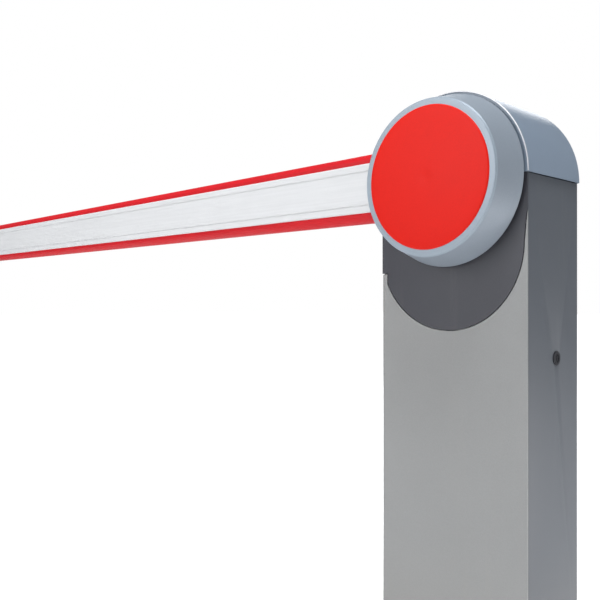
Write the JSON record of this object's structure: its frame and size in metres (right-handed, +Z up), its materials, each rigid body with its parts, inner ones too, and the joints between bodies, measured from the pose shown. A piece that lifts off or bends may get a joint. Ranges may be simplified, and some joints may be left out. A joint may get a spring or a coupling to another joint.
{
  "type": "parking barrier gate",
  "caption": "Automatic parking barrier: slim cabinet with an arched dome, round drum with a raised disc, and a long level boom with rubber edges, driven by a crank and a balance spring inside.",
  "frame": {"origin": "middle of the anchor bolt pattern, on the underside of the base plate", "axes": "+Z up; the boom points to -X; +Y runs from the front door into the cabinet"},
  "size_m": [3.1598, 0.2519, 1.0158],
  "materials": {
    "door_paint": "satin",
    "body_paint": "satin",
    "dark_cover_paint": "satin",
    "dome_paint": "satin",
    "drum_paint": "satin",
    "trim_aluminium": "satin",
    "red_plastic": "satin",
    "white_aluminium": "satin",
    "red_rubber": "matte",
    "black_rubber": "matte",
    "zinc_steel": "satin",
    "machined_steel": "brushed",
    "spring_steel": "satin",
    "cast_aluminium": "cast",
    "black_plastic": "matte",
    "grey_plastic": "matte",
    "board_green": "satin",
    "lock_dark": "satin"
  },
  "bodies": {
    "cabinet": {"base_plate": "zinc_steel", "cabinet_shell": "body_paint", "front_cover": "dark_cover_paint", "dome_cover": "dome_paint", "dome_trim": "trim_aluminium", "dome_screws": "zinc_steel", "cover_spacers": "zinc_steel", "uprights": "zinc_steel", "mechanism_plate": "zinc_steel", "bearing_housing": "cast_aluminium", "bearing_outer_races": "machined_steel", "gearbox_housing": "cast_aluminium", "gearbox_cover": "cast_aluminium", "motor_casing": "spring_steel", "motor_end_cap": "black_plastic", "capacitor": "grey_plastic", "balance_spring": "spring_steel", "spring_anchor_bracket": "zinc_steel", "spring_anchor_rod": "zinc_steel", "stop_brackets": "zinc_steel", "stop_bolts": "zinc_steel", "stop_buffers": "black_rubber", "switch_bracket": "zinc_steel", "limit_switches": "black_plastic", "control_box": "grey_plastic", "control_box_lid": "grey_plastic", "control_board": "board_green", "cable_glands": "black_plastic", "door_pivot_brackets": "zinc_steel", "door_pivot_pins": "zinc_steel", "release_lock_barrel": "lock_dark"},
    "boom": {"main_shaft": "machined_steel", "bearing_inner_races": "machined_steel", "arm_hub": "cast_aluminium", "shaft_nut": "zinc_steel", "drum_housing": "drum_paint", "drum_ring": "trim_aluminium", "disc_cover": "red_plastic", "clamp_plate": "zinc_steel", "clamp_bolts": "zinc_steel", "boom_profile": "white_aluminium", "boom_insert": "cast_aluminium", "upper_edge_rubber": "red_rubber", "lower_edge_rubber": "red_rubber", "boom_tip_cap": "black_plastic", "rocker_lever": "cast_aluminium", "lever_pins": "machined_steel", "switch_cams": "black_plastic"},
    "crank": {"crank_arm": "cast_aluminium", "output_shaft": "machined_steel", "crank_pin": "machined_steel"},
    "connecting_rod": {"rod_shank": "zinc_steel", "rod_ends": "machined_steel"},
    "hanger": {"spring_hanger": "zinc_steel"},
    "door": {"front_door": "door_paint", "door_stiffener": "zinc_steel", "door_lock_barrel": "lock_dark"},
    "door_lock": {"door_lock_core": "lock_dark"},
    "release_lock": {"release_lock_core": "lock_dark"}
  },
  "joints": [
    {"name": "boom_lift", "type": "hinge", "parent": "cabinet", "child": "boom", "pos_m": [0, 0, 0.86], "axis": [0, 1, 0], "range_deg": [0, 90], "deforming": ["balance_spring"]},
    {"name": "crank_turn", "type": "hinge", "parent": "cabinet", "child": "crank", "pos_m": [0, 0, 0.62], "axis": [0, 1, 0], "range_deg": [0, 90]},
    {"name": "rod_swing", "type": "hinge", "parent": "crank", "child": "connecting_rod", "pos_m": [-0.04243, 0.016, 0.57757], "axis": [0, 1, 0], "range_deg": [-90, 0]},
    {"name": "hanger_swing", "type": "hinge", "parent": "boom", "child": "hanger", "pos_m": [0.04243, 0.016, 0.90243], "axis": [0, 1, 0], "range_deg": [-90, 0]},
    {"name": "door_swing", "type": "hinge", "parent": "cabinet", "child": "door", "pos_m": [-0.1475, -0.084, 0.4], "axis": [0, 0, -1], "range_deg": [0, 110]},
    {"name": "door_lock_turn", "type": "hinge", "parent": "door", "child": "door_lock", "pos_m": [0.118, -0.08, 0.075], "axis": [0, 1, 0], "range_deg": [0, 90]},
    {"name": "release_lock_turn", "type": "hinge", "parent": "cabinet", "child": "release_lock", "pos_m": [0.13, 0.0074, 0.553], "axis": [-1, 0, 0], "range_deg": [0, 90]}
  ],
  "couplings": [
    {"joint": "crank_turn", "follows": "boom_lift", "ratio": 1},
    {"joint": "rod_swing", "follows": "boom_lift", "ratio": -1},
    {"joint": "hanger_swing", "follows": "boom_lift", "ratio": -1}
  ]
}
